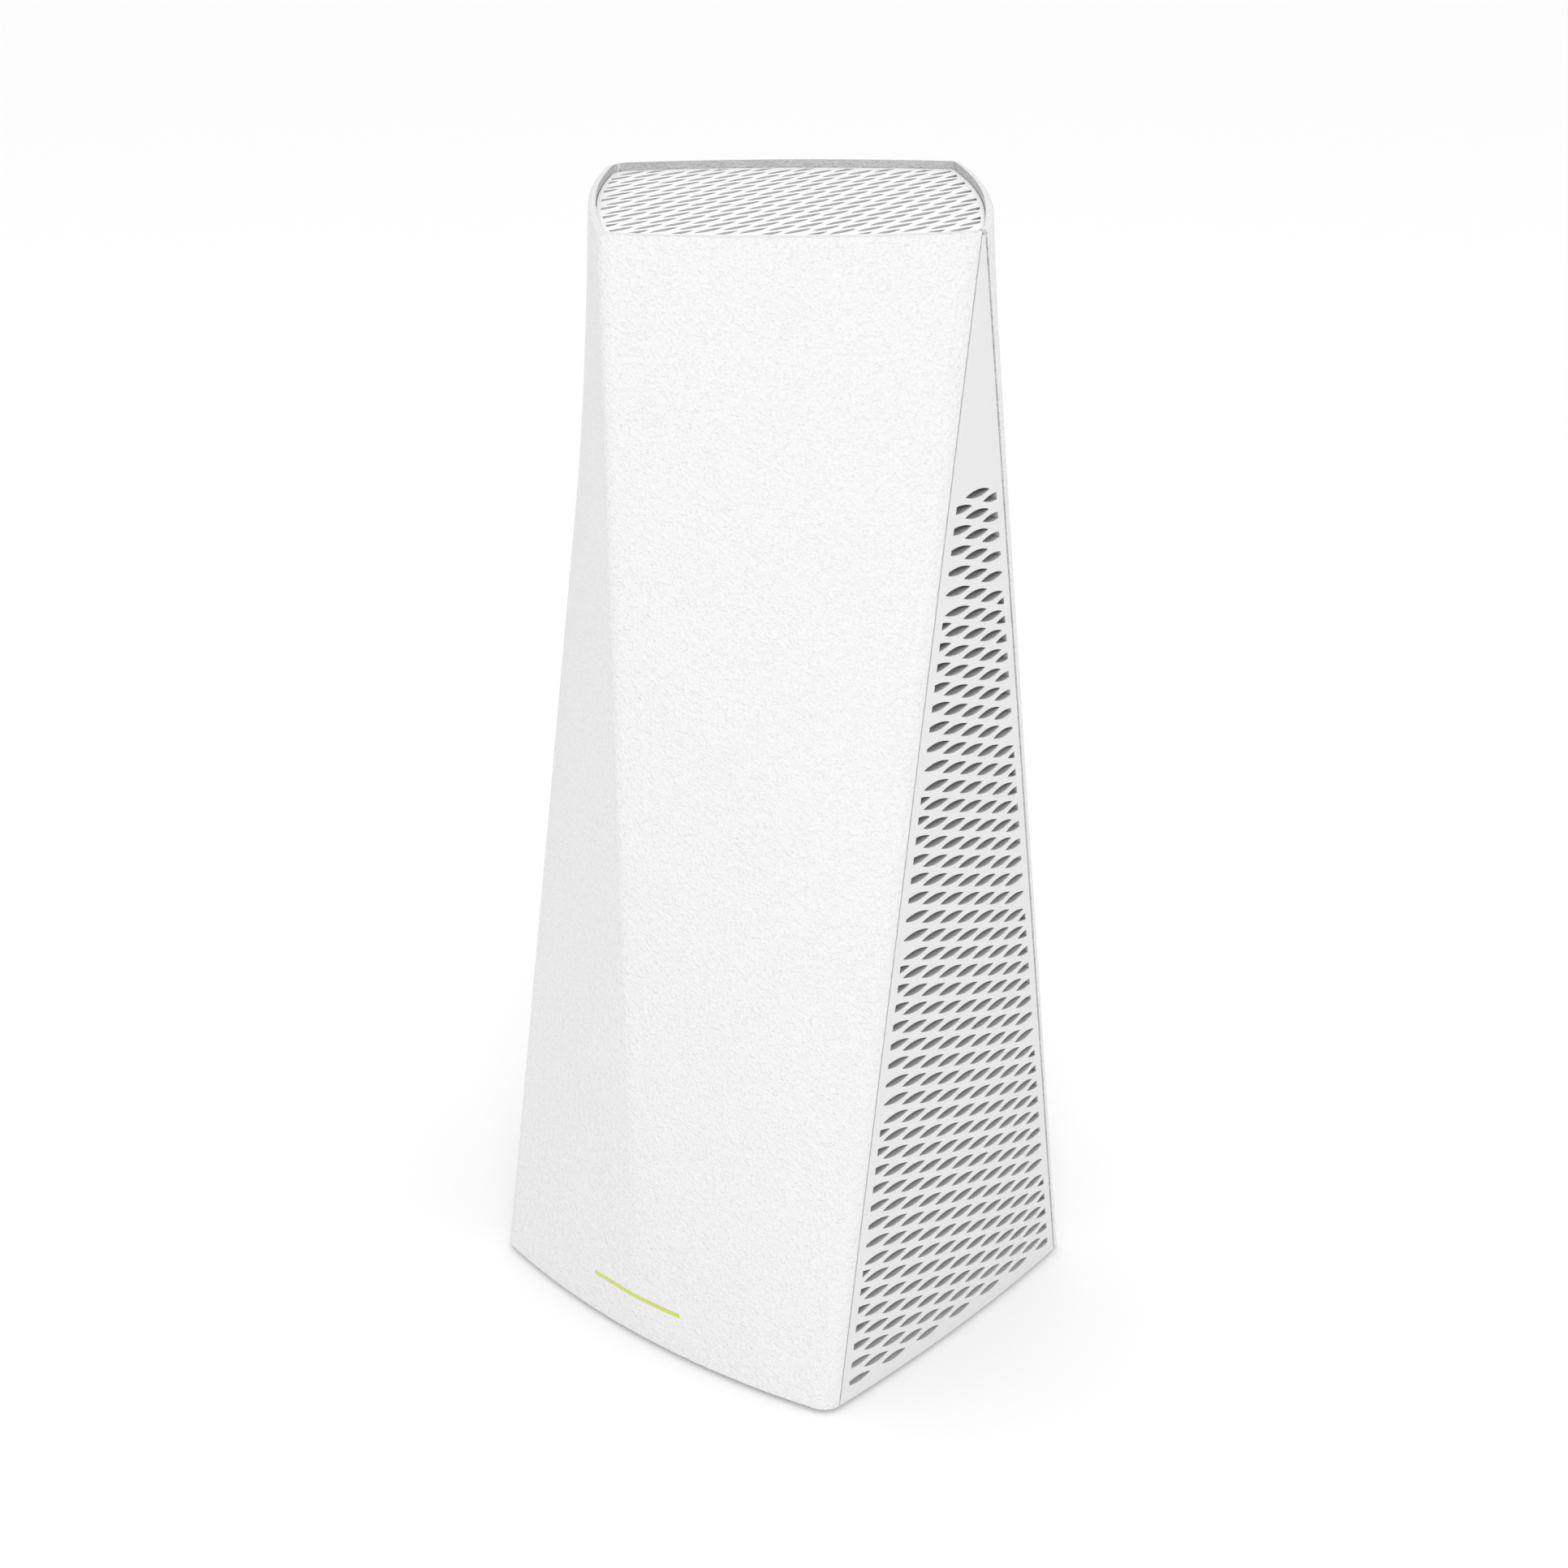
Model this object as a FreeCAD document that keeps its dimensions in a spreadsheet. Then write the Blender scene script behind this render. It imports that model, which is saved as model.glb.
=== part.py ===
"""Wireless router: a twisted white tower with perforated side panels and a grille on top.

The skin is ruled between a bowed square base and a smaller rounded rectangle on top that is
turned by about 42 degrees. Two plain shells meet two tall triangular grilles along straight
seams. Inside, a moulded frame carries the boards, heat sink and antennas, and a bay at the
back holds the sockets and buttons. Millimetres, +Z up, status light towards -Y, origin on the
ground under the middle of the tower.
"""
import FreeCAD
import Part
import math
import os
import Sketcher
from FreeCAD import Placement, Rotation, Vector

os.makedirs("parts", exist_ok=True)
doc = FreeCAD.newDocument("Router")

# ---------------------------------------------------------------- driving dimensions
DIMENSIONS = [
    # skin, base outline
    ("foot_out", 1.0, "feet stand this far below the skin"),
    ("height_all", 246.0, "ground to top of rim"),
    ("base_half_x", 48.72, "virtual corner of the base outline"),
    ("base_half_y", 42.41, "virtual corner of the base outline"),
    ("front_bow", 6.32, "bulge of the front and back edges at the base"),
    ("side_bow", 1.96, "bulge of the side edges at the base"),
    ("base_round", 4.75, "corner radius at the base"),
    ("crease_foot", 1.1, "where the front crease meets the base, left of centre"),
    ("crease_bit", 1.2, "width of the crease at the base"),
    # skin, top outline
    ("top_width", 73.7, "top rectangle, long side"),
    ("top_depth", 64.5, "top rectangle, short side"),
    ("twist", 41.94, "turn of the top against the base, degrees"),
    ("top_bow_long", 3.18, "bulge of the long top sides"),
    ("top_bow_short", 2.96, "bulge of the short top sides"),
    ("crease_round", 2.97, "top corner radius over a crease"),
    ("seam_round", 6.12, "top corner radius over a side grille"),
    ("apex_bit", 0.4, "width of the side panel line at the very top"),
    ("rim_round", 1.2, "rounding of the outer rim edge"),
    ("rim_break", 4.0, "the rim falls from this far ahead of the axis"),
    ("rim_run", 32.0, "from there to the front edge"),
    ("rim_fall", 1.75, "fall of the rim at the front edge"),
    # walls and seams
    ("wall", 2.2, "shell wall"),
    ("grille_wall", 2.8, "side grille wall"),
    ("grille_edge", 2.0, "side grille wall over the frame and the base plate"),
    ("rim_wall", 1.54, "wall around the top grille"),
    ("seam_gap", 0.3, "gap between shell and side grille"),
    ("seam_extra", 0.3, "added gap on the anticlockwise side of each side grille"),
    ("tip_drop", 1.0, "side grille tip below the rim"),
    # side grille pattern
    ("lens_long", 7.8, "length of one opening"),
    ("lens_wide", 1.65, "width of one opening"),
    ("pitch_half", 5.66, "half the spacing along a row"),
    ("row_step", 2.0765, "spacing of the highest rows"),
    ("row_grow", 0.00013, "growth of the spacing towards the foot"),
    ("row_top", 193.0, "height of the highest row"),
    ("row_mid", 0.6, "y of the middle column"),
    ("rows", 91, "number of rows"),
    ("side_margin", 2.35, "plain strip along a seam"),
    # top grille
    ("top_sink", 1.69, "top grille below the rim"),
    ("top_plate", 1.6, "top grille thickness"),
    ("slot_long", 7.6, "length of one top slot"),
    ("slot_wide", 1.6, "width of one top slot"),
    ("slot_turn", -4.1, "turn of the top pattern, degrees"),
    ("slot_x", -1.09, "a slot centre, x"),
    ("slot_y", -3.11, "a slot centre, y"),
    ("slot_step", 2.09, "spacing of the top slots across their length"),
    ("top_margin", 1.1, "plain strip around the top pattern"),
    # light bar
    ("light_x", -1.3, "middle of the status light"),
    ("light_half", 12.6, "half length of the status light"),
    ("light_z", 10.6, "height of the status light"),
    ("light_high", 0.8, "width of the status light"),
    ("light_deep", 3.6, "depth of the light bar"),
    # base plate, feet, screws, label
    ("plate_low", 1.6, "underside of the base plate"),
    ("plate_top", 4.0, "top of the base plate"),
    ("lip_top", 6.0, "top of the base plate lip"),
    ("lip_out", 2.4, "lip, outer offset from the skin"),
    ("lip_in", 3.9, "lip, inner offset from the skin"),
    ("foot_x", 28.0, "foot centre"),
    ("foot_y", 33.0, "foot centre"),
    ("foot_rad", 6.0, "foot radius"),
    ("foot_seat", 0.8, "depth of a foot's pocket"),
    ("boss_x", 38.0, "base screw"),
    ("boss_y", 22.0, "base screw"),
    ("boss_rad", 4.5, "screw boss radius"),
    ("boss_top", 16.0, "top of the frame's bosses"),
    ("base_head_rad", 2.6, "base screw head radius"),
    ("base_head_high", 1.6, "base screw head height"),
    ("base_shank_rad", 1.25, "base screw shank radius"),
    ("base_shank_long", 8.0, "base screw shank length"),
    ("vent_count", 7, "vent slots in each group"),
    ("vent_step", 5.0, "vent spacing"),
    ("vent_wide", 2.4, "vent width"),
    ("vent_long", 14.0, "vent length"),
    ("vent_y", 27.0, "vent group centre"),
    ("label_long", 40.0, "rating label length"),
    ("label_wide", 22.0, "rating label width"),
    ("label_thick", 0.15, "rating label thickness"),
    # inner frame
    ("frame_low", 6.3, "underside of the inner frame"),
    ("ring_top", 12.0, "top of the lower ring"),
    ("ring_out", 2.5, "lower ring, outer offset"),
    ("ring_in", 6.1, "lower ring, inner offset"),
    ("rib_out", 2.4, "seam rib, outer offset"),
    ("rib_in", 4.4, "seam rib, inner offset"),
    ("rib_beside", 5.0, "seam rib, reach outside the seam"),
    ("rib_inside", 1.9, "seam rib, reach inside the seam"),
    ("crown_low", 228.0, "underside of the upper ring"),
    ("crown_top", 242.5, "top of the upper ring"),
    ("crown_in", 5.0, "upper ring, inner offset"),
    ("post_in", 31.0, "main posts, inner face"),
    ("post_out", 34.0, "main posts, outer face"),
    ("beam_top", 7.8, "top of the lower beams"),
    # boards
    ("board_thick", 1.6, "circuit board thickness"),
    ("main_y", 8.0, "main board, front face"),
    ("main_half", 30.8, "main board, half width"),
    ("main_low", 14.0, "main board, lower edge"),
    ("main_top", 224.0, "main board, upper edge"),
    ("radio_y", -20.0, "radio board, back face"),
    ("radio_half", 24.0, "radio board, half width"),
    ("radio_low", 40.0, "radio board, lower edge"),
    ("radio_top", 180.0, "radio board, upper edge"),
    ("io_half", 33.0, "socket board, half width"),
    ("io_front", 12.4, "socket board, front edge"),
    ("io_back", 39.4, "socket board, back edge"),
    ("screw_head_rad", 1.9, "board screw head radius"),
    ("screw_head_high", 1.4, "board screw head height"),
    ("screw_rad", 1.0, "board screw shank radius"),
    ("screw_long", 3.0, "board screw shank length"),
    # heat sink
    ("sink_half", 27.0, "heat sink, half width"),
    ("sink_low", 50.0, "heat sink, lower edge"),
    ("sink_long", 120.0, "heat sink length"),
    ("sink_base", 3.0, "heat sink base thickness"),
    ("fin_deep", 14.6, "fin depth"),
    ("fin_thick", 1.4, "fin thickness"),
    ("fin_count", 11, "number of fins"),
    ("chip_side", 20.0, "processor side"),
    ("chip_thick", 1.4, "processor thickness"),
    ("pad_thick", 1.0, "thermal pad thickness"),
    ("chip_mid", 110.0, "processor height"),
    # bay at the back
    ("bay_half", 34.0, "opening in the rear shell, half width"),
    ("bay_low", 7.0, "opening, lower edge"),
    ("bay_top", 27.0, "opening, upper edge"),
    ("bay_gap", 0.2, "gap around the port panel"),
    ("bay_wall", 1.4, "port panel side walls"),
    ("face_y", 41.4, "port panel, outer face"),
    ("face_thick", 1.6, "port panel thickness"),
    # sockets
    ("jack_wide", 16.0, "network jack width"),
    ("jack_high", 13.5, "network jack height"),
    ("jack_deep", 16.0, "network jack depth"),
    ("plug_wide", 11.8, "network jack opening width"),
    ("plug_high", 6.9, "network jack opening height"),
    ("plug_deep", 13.0, "network jack opening depth"),
    ("latch_wide", 6.2, "latch notch width"),
    ("latch_high", 2.0, "latch notch height"),
    ("jack_a_x", -9.5, "first network jack"),
    ("jack_b_x", 8.0, "second network jack"),
    ("power_x", -25.0, "power jack"),
    ("power_wide", 9.0, "power jack width"),
    ("power_high", 11.0, "power jack height"),
    ("power_deep", 14.0, "power jack depth"),
    ("power_bore", 3.15, "power jack bore radius"),
    ("power_bore_deep", 10.0, "power jack bore depth"),
    ("power_pin", 1.0, "power jack centre pin radius"),
    ("power_pin_long", 9.0, "power jack centre pin length"),
    # buttons
    ("sync_x", 20.0, "sync button"),
    ("reset_x", 28.0, "reset button"),
    ("button_z", 16.2, "height of the buttons"),
    ("sync_rad", 3.0, "sync button radius"),
    ("reset_rad", 1.0, "reset button radius"),
    ("button_play", 0.15, "gap around a button"),
    ("flange_extra", 0.8, "flange beyond the button"),
    ("flange_thick", 1.1, "flange thickness"),
    ("flange_back", 0.1, "flange behind the panel"),
    ("sync_out", 0.6, "sync button stands out"),
    ("reset_in", 0.8, "reset button sits in"),
    ("plunger_sync", 1.6, "sync plunger radius"),
    ("plunger_reset", 0.9, "reset plunger radius"),
    ("plunger_long", 3.6, "plunger length"),
    ("plunger_play", 0.06, "plunger clearance"),
    ("switch_front", 32.0, "switch, front face"),
    ("switch_back", 36.5, "switch, back face"),
    ("switch_half", 3.1, "switch, half width"),
    ("switch_high", 9.6, "switch height"),
    ("switch_well", 2.4, "depth of the plunger well"),
    # antennas
    ("blade_thick", 0.8, "antenna board thickness"),
    ("lead_rad", 0.5, "antenna lead radius"),
    ("plug_side", 3.0, "antenna plug side"),
    ("plug_tall", 2.4, "antenna plug height"),
]

sheet = doc.addObject("Spreadsheet::Sheet", "Dims")
for row, (alias, value, note) in enumerate(DIMENSIONS, start=1):
    sheet.set("A%d" % row, alias)
    sheet.set("B%d" % row, repr(value))
    sheet.set("C%d" % row, note)
    sheet.setAlias("B%d" % row, alias)
doc.recompute()


def dim(alias):
    """Value of a driving dimension."""
    return float(sheet.get(alias))


def ref(text):
    """Expression text with each driving dimension pointed at the sheet."""
    for alias in sorted((entry[0] for entry in DIMENSIONS), key=len, reverse=True):
        text = text.replace("[" + alias + "]", "Dims." + alias)
    return text


FINISHED = []


def finish(obj, label):
    """Name a finished sub-part and put it on the export list."""
    obj.Label = label
    FINISHED.append(obj)
    return obj


def feature(label, shape):
    """Sub-part whose shape is worked out in code from the sheet."""
    obj = doc.addObject("Part::Feature", "Shape_" + label)
    obj.Shape = shape
    obj.Placement = Placement()
    return obj


# ---------------------------------------------------------------- skin geometry
def circle_cross(centre_a, rad_a, centre_b, rad_b, near):
    """Crossing of two circles that lies nearest a point."""
    gap = centre_b.sub(centre_a)
    along = (rad_a ** 2 - rad_b ** 2 + gap.Length ** 2) / (2 * gap.Length)
    across = math.sqrt(max(rad_a ** 2 - along ** 2, 0))
    middle = centre_a + gap * (along / gap.Length)
    side = Vector(-gap.y, gap.x, 0) * (across / gap.Length)
    return min((middle + side, middle - side), key=lambda point: point.sub(near).Length)


def bowed_side(start, end, bulge, inset):
    """Centre and radius of an arc that bulges outwards between two corners, then is inset."""
    chord = end.sub(start)
    outward = Vector(chord.y, -chord.x, 0).normalize()
    radius = ((chord.Length / 2) ** 2 + bulge ** 2) / (2 * bulge)
    return (start + end) * 0.5 - outward * (radius - bulge), radius - inset


def rounded_outline(corners, bulges, rounds, inset):
    """Bowed sides and the arcs that round their corners.

    Gives a list of (centre, radius) sides, and a list of (centre, radius, first tangent
    point, second tangent point) corners.
    """
    count = len(corners)
    sides = [bowed_side(corners[i], corners[(i + 1) % count], bulges[i], inset)
             for i in range(count)]
    rounding = []
    for i in range(count):
        (centre_a, rad_a), (centre_b, rad_b) = sides[i - 1], sides[i]
        rad = max(rounds[i] - inset, 0.5)
        mid = circle_cross(centre_a, rad_a - rad, centre_b, rad_b - rad, corners[i])
        first = centre_a + (mid - centre_a) * (rad_a / (rad_a - rad))
        second = centre_b + (mid - centre_b) * (rad_b / (rad_b - rad))
        rounding.append((mid, rad, first, second))
    return sides, rounding


def on_arc(centre, start, end, share):
    """Point part of the way round the short arc from start to end."""
    first = start - centre
    last = end - centre
    angle = math.atan2(first.x * last.y - first.y * last.x, first.dot(last)) * share
    return centre + Rotation(Vector(0, 0, 1), math.degrees(angle)).multVec(first)


def arc_edge(centre, start, end, share_a, share_b, level):
    """Edge along part of an arc, at a height."""
    shares = (share_a, (share_a + share_b) / 2, share_b)
    points = [on_arc(centre, start, end, share) + Vector(0, 0, level) for share in shares]
    return Part.Arc(*points).toShape()


SKIN_LOW = dim("foot_out")
SKIN_TOP = dim("height_all")


def base_outline(inset):
    """Outline of the skin at the ground."""
    x, y = dim("base_half_x"), dim("base_half_y")
    corners = [Vector(-x, -y, 0), Vector(x, -y, 0), Vector(x, y, 0), Vector(-x, y, 0)]
    bulges = [dim("front_bow"), dim("side_bow")] * 2
    return rounded_outline(corners, bulges, [dim("base_round")] * 4, inset)


def top_outline(inset):
    """Outline of the skin at the rim."""
    x, y = dim("top_width") / 2, dim("top_depth") / 2
    turn = Rotation(Vector(0, 0, 1), dim("twist"))
    corners = [turn.multVec(Vector(i * x, j * y, 0)) for i, j in ((-1, -1), (1, -1), (1, 1), (-1, 1))]
    bulges = [dim("top_bow_long"), dim("top_bow_short")] * 2
    return rounded_outline(corners, bulges, [dim("crease_round"), dim("seam_round")] * 2, inset)


def side_edge(outline, index, share_a, share_b, level):
    """Edge along part of one side of an outline."""
    sides, rounding = outline
    start = rounding[index][3]
    end = rounding[(index + 1) % 4][2]
    return arc_edge(sides[index][0], start, end, share_a, share_b, level)


def corner_edge(outline, index, share_a, share_b, level):
    """Edge along part of one rounded corner of an outline."""
    centre, _, first, second = outline[1][index]
    return arc_edge(centre, first, second, share_a, share_b, level)


def tower(inset):
    """Solid inside the skin, inset by a distance at every level."""
    base = base_outline(inset)
    top = top_outline(inset)
    tip = dim("apex_bit") / 2 / (dim("seam_round") * math.pi / 2)
    foot_a = base[1][0][3].x
    foot_b = base[1][1][2].x
    crease = [(-dim("crease_foot") + s * dim("crease_bit") / 2 - foot_a) / (foot_b - foot_a)
              for s in (-1, 1)]
    low, high = SKIN_LOW, SKIN_TOP
    pairs = []
    for k in (0, 2):
        last = (k + 3) % 4
        pairs += [
            (corner_edge(base, k, 0, 1, low), corner_edge(top, last, 0.5 + tip, 1, high)),
            (side_edge(base, k, 0, crease[0], low), side_edge(top, last, 0, 1, high)),
            (side_edge(base, k, crease[0], crease[1], low), corner_edge(top, k, 0, 1, high)),
            (side_edge(base, k, crease[1], 1, low), side_edge(top, k, 0, 1, high)),
            (corner_edge(base, k + 1, 0, 1, low), corner_edge(top, k + 1, 0, 0.5 - tip, high)),
            (side_edge(base, k + 1, 0, 1, low), corner_edge(top, k + 1, 0.5 - tip, 0.5 + tip, high)),
        ]
    faces = [Part.makeRuledSurface(under, over) for under, over in pairs]
    faces.append(Part.Face(Part.Wire([under for under, over in pairs])))
    faces.append(Part.Face(Part.Wire([over for under, over in pairs])))
    shell = Part.makeShell(faces)
    shell.sewShape()
    solid = Part.makeSolid(shell)
    if solid.Volume < 0:
        solid.reverse()
    return solid


def slab(low, high, half=80.0):
    """Wide flat block between two heights."""
    return Part.makeBox(2 * half, 2 * half, high - low, Vector(-half, -half, low))


def block(x_range, y_range, z_range):
    """Block between three pairs of limits."""
    size = [hi - lo for lo, hi in (x_range, y_range, z_range)]
    return Part.makeBox(*size, Vector(x_range[0], y_range[0], z_range[0]))


def half_turned(shape):
    """Copy of a shape turned half way round the tower's axis."""
    copy = shape.copy()
    copy.rotate(Vector(0, 0, 0), Vector(0, 0, 1), 180)
    return copy


def seam_points(grow):
    """Corners in Y and Z of the right-hand side panel, grown sideways."""
    base = base_outline(0)
    foot_front = base[1][1][3].y
    foot_back = base[1][2][2].y
    centre, _, first, second = top_outline(0)[1][1]
    apex = on_arc(centre, first, second, 0.5).y
    tip = dim("apex_bit") / 2
    return foot_front - grow, foot_back + grow, apex - tip - grow, apex + tip + grow


def seam_prism(grow, low, high, near=30.0, far=70.0, extra=0.0):
    """Prism along X over the right-hand side panel between two heights.

    The extra widens it over the seam with the rear shell.
    """
    foot_front, foot_back, tip_front, tip_back = seam_points(grow)
    foot_back += extra
    tip_back += extra

    def at(level, foot, tip):
        share = (level - SKIN_LOW) / (SKIN_TOP - SKIN_LOW)
        return Vector(near, foot + (tip - foot) * share, level)

    points = [at(low, foot_front, tip_front), at(low, foot_back, tip_back),
              at(high, foot_back, tip_back), at(high, foot_front, tip_front)]
    face = Part.Face(Part.makePolygon(points + points[:1]))
    return face.extrude(Vector(far - near, 0, 0))


def rim_wedge(drop):
    """Everything above the rim where it falls towards the front edge of the top."""
    turn = Rotation(Vector(0, 0, 1), dim("twist"))
    front = turn.multVec(Vector(0, -1, 0))
    beside = turn.multVec(Vector(1, 0, 0))
    level = SKIN_TOP - drop
    near = dim("rim_break")
    far = near + 2 * dim("rim_run")
    profile = [(near, level), (far, level - 2 * dim("rim_fall")), (far, level + 10), (near, level + 10)]
    points = [front * ahead - beside * 80 + Vector(0, 0, height) for ahead, height in profile]
    face = Part.Face(Part.makePolygon(points + points[:1]))
    return face.extrude(beside * 160)


def lens_face(length, width, centre, along, across):
    """Pointed two-arc opening, as a flat face."""
    ends = [centre - along * (length / 2), centre + along * (length / 2)]
    upper = Part.Arc(ends[0], centre + across * (width / 2), ends[1]).toShape()
    lower = Part.Arc(ends[1], centre - across * (width / 2), ends[0]).toShape()
    return Part.Face(Part.Wire([upper, lower]))


def clipped(faces, region, least):
    """Faces cut to a region, without slivers."""
    kept = []
    for face in faces:
        for piece in face.common(region).Faces:
            if piece.Area > least:
                kept.append(piece)
    return kept


outer = tower(0)
rim_edges = [edge for edge in outer.Edges if edge.BoundBox.ZMin > SKIN_TOP - 0.001]
rounded = outer.makeFillet(dim("rim_round"), rim_edges)
seat_z = SKIN_TOP - dim("top_sink") - dim("top_plate")
cavity = tower(dim("wall")).common(slab(0, seat_z))
recess = tower(dim("rim_wall")).common(slab(seat_z, SKIN_TOP + 1))

# ---------------------------------------------------------------- shells
gap = dim("seam_gap") / 2
slot = seam_prism(gap, -5, SKIN_TOP + 5, extra=dim("seam_extra"))
ring = rounded.cut([cavity, recess, slot, half_turned(slot), rim_wedge(0)])
front_skin, rear_skin = sorted(ring.Solids, key=lambda solid: solid.CenterOfMass.y)
light_low = dim("light_z") - dim("light_high") / 2
light_high = dim("light_z") + dim("light_high") / 2
light_left = dim("light_x") - dim("light_half")
light_right = dim("light_x") + dim("light_half")
light_gap = 0.05
light_hole = block((light_left - light_gap, light_right + light_gap), (-60, -35),
                   (light_low - light_gap, light_high + light_gap))
bay_hole = block((-dim("bay_half"), dim("bay_half")), (35, 60), (dim("bay_low"), dim("bay_top")))
finish(feature("front_shell", front_skin.cut(light_hole)), "front_shell")
finish(feature("rear_shell", rear_skin.cut(bay_hole)), "rear_shell")

light_bar = block((light_left, light_right), (-60, -35), (light_low, light_high))
light_bar = light_bar.common(outer).cut(tower(dim("light_deep")))
finish(feature("light_bar", light_bar), "light_bar")

# ---------------------------------------------------------------- side grilles
window = seam_prism(-dim("rib_inside") - 0.15, dim("ring_top") + 0.3, SKIN_TOP - 40.0, near=0)
relief = tower(dim("grille_edge")).cut(window)
panel = rounded.cut([tower(dim("grille_wall")), recess, relief])
panel = panel.common(seam_prism(-gap, SKIN_LOW, SKIN_TOP - dim("tip_drop")))
margin = seam_prism(-dim("side_margin"), SKIN_LOW + 1.0, SKIN_TOP - 40.0)
region = min(margin.Faces, key=lambda face: face.CenterOfMass.x)
openings = []
for row in range(int(dim("rows"))):
    level = dim("row_top") - row * (dim("row_step") + row * dim("row_grow"))
    reach = int(dim("base_half_y") / dim("pitch_half")) + 1
    for column in range(-reach, reach + 1):
        if (column + row) % 2 == 0:
            centre = Vector(30.0, dim("row_mid") + column * dim("pitch_half"), level)
            openings.append(lens_face(dim("lens_long"), dim("lens_wide"), centre,
                                      Vector(0, 1, 0), Vector(0, 0, 1)))
openings = clipped(openings, region, 2.0)
panel = panel.cut([face.extrude(Vector(40, 0, 0)) for face in openings])
right = finish(feature("side_grille_right", panel.cut(rim_wedge(dim("tip_drop")))),
               "side_grille_right")
left = finish(feature("side_grille_left", panel), "side_grille_left")
left.Placement = Placement(Vector(0, 0, 0), Rotation(Vector(0, 0, 1), 180))

# ---------------------------------------------------------------- top grille
plate_gap = 0.15
plate = tower(dim("rim_wall") + plate_gap).common(slab(seat_z, seat_z + dim("top_plate")))
outline = tower(dim("rim_wall") + dim("top_margin")).slice(Vector(0, 0, 1), seat_z)
region = Part.Face(outline[0])
turn = Rotation(Vector(0, 0, 1), dim("slot_turn"))
stack = turn.multVec(Vector(1, 0, 0))
along = turn.multVec(Vector(0, 1, 0))
start = Vector(dim("slot_x"), dim("slot_y"), seat_z)
slots = []
for row in range(-26, 27):
    for column in range(-10, 11):
        if (column + row) % 2 == 0:
            centre = start + stack * (row * dim("slot_step")) + along * (column * dim("pitch_half"))
            slots.append(lens_face(dim("slot_long"), dim("slot_wide"), centre, along, stack))
slots = clipped(slots, region, 2.0)
plate = plate.cut([face.extrude(Vector(0, 0, 10)).translated(Vector(0, 0, -5)) for face in slots])
finish(feature("top_grille", plate), "top_grille")

# ---------------------------------------------------------------- base plate
corners = [(i, j) for i in (-1, 1) for j in (-1, 1)]
floor = tower(dim("lip_out")).common(slab(dim("plate_low"), dim("lip_top")))
floor = floor.cut(tower(dim("lip_in")).common(slab(dim("plate_top"), SKIN_TOP)))
bosses = []
holes = []
for i, j in corners:
    x, y = i * dim("boss_x"), j * dim("boss_y")
    bosses.append(Part.makeCylinder(dim("boss_rad"), dim("lip_top") - dim("plate_low"),
                                    Vector(x, y, dim("plate_low"))))
    seat_high = dim("plate_top") - dim("plate_low")
    holes.append(Part.makeCylinder(dim("base_head_rad") + 0.4, seat_high,
                                   Vector(x, y, dim("plate_low"))))
    holes.append(Part.makeCylinder(dim("base_shank_rad") + 0.3, 10, Vector(x, y, 0)))
    foot = Vector(i * dim("foot_x"), j * dim("foot_y"), dim("plate_low"))
    holes.append(Part.makeCylinder(dim("foot_rad") + 0.1, dim("foot_seat"), foot))
for j in (-1, 1):
    for k in range(int(dim("vent_count"))):
        x = (k - (dim("vent_count") - 1) / 2) * dim("vent_step")
        y = j * dim("vent_y")
        holes.append(block((x - dim("vent_wide") / 2, x + dim("vent_wide") / 2),
                           (y - dim("vent_long") / 2, y + dim("vent_long") / 2), (0, 10)))
floor = floor.fuse(bosses).removeSplitter().cut(holes)
finish(feature("base_plate", floor), "base_plate")

# ---------------------------------------------------------------- inner frame
def band(outside, inside, low, high):
    """Ring that follows the skin between two insets and two heights."""
    return tower(outside).common(slab(low, high)).cut(tower(inside))


low = dim("frame_low")
beam = dim("beam_top")
post_in, post_out = dim("post_in"), dim("post_out")
main_y = dim("main_y")
main_back = main_y + dim("board_thick")
radio_y = dim("radio_y")
radio_half = dim("radio_half")
BLADE_LEVEL = (181.0, 185.0)
CROWN_BAR = (dim("crown_low"), dim("crown_low") + 4.0)
bars = []
sided_bars = [
    ((post_in, post_out), (6, 12), (low, CROWN_BAR[1])),
    ((radio_half + 0.4, radio_half + 3), (-23, -17), (low, BLADE_LEVEL[1])),
    ((radio_half + 0.4, radio_half + 3), (-23, 7), BLADE_LEVEL),
    ((radio_half, post_out), (6, 7), BLADE_LEVEL),
    ((post_out - 0.5, 40), (7, 10), (80, 84)),
    ((8, 10), (-34, -22), BLADE_LEVEL),
    ((8, 10), (11, 34), BLADE_LEVEL),
    ((8, 10), (-24, 24), CROWN_BAR),
    ((37, 46), (20.5, 23.5), (low, dim("ring_top"))),
    ((37, 46), (-23.5, -20.5), (low, dim("ring_top"))),
]
for level in (32, 206):
    sided_bars.append(((27, post_in + 0.5), (main_back, 12), (level - 4, level + 4)))
for level in (47, 173):
    sided_bars.append(((20, radio_half + 1), (radio_y, -17.6), (level - 3, level + 3)))
for x_range, y_range, z_range in sided_bars:
    bars.append(block(x_range, y_range, z_range))
    bars.append(block((-x_range[1], -x_range[0]), y_range, z_range))
bars += [
    block((-42, 42), (20, 24), (low, beam)),
    block((-42, 42), (-24, -20), (low, beam)),
    block((-radio_half - 3, radio_half + 3), (-23, -20), BLADE_LEVEL),
    block((-post_out, post_out), (10, 12), BLADE_LEVEL),
    block((-60, 60), (6, 12), CROWN_BAR),
    block((-19.5, 19.5), (-42, -40.4), (low, 14)),
]
for i, j in corners:
    bars.append(Part.makeCylinder(dim("boss_rad"), dim("boss_top") - dim("lip_top"),
                                  Vector(i * dim("boss_x"), j * dim("boss_y"), dim("lip_top"))))
inside = tower(dim("ring_out"))
bars = [bar.common(inside) for bar in bars]
strip = seam_prism(dim("rib_beside"), low, dim("crown_low") + 6)
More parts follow.
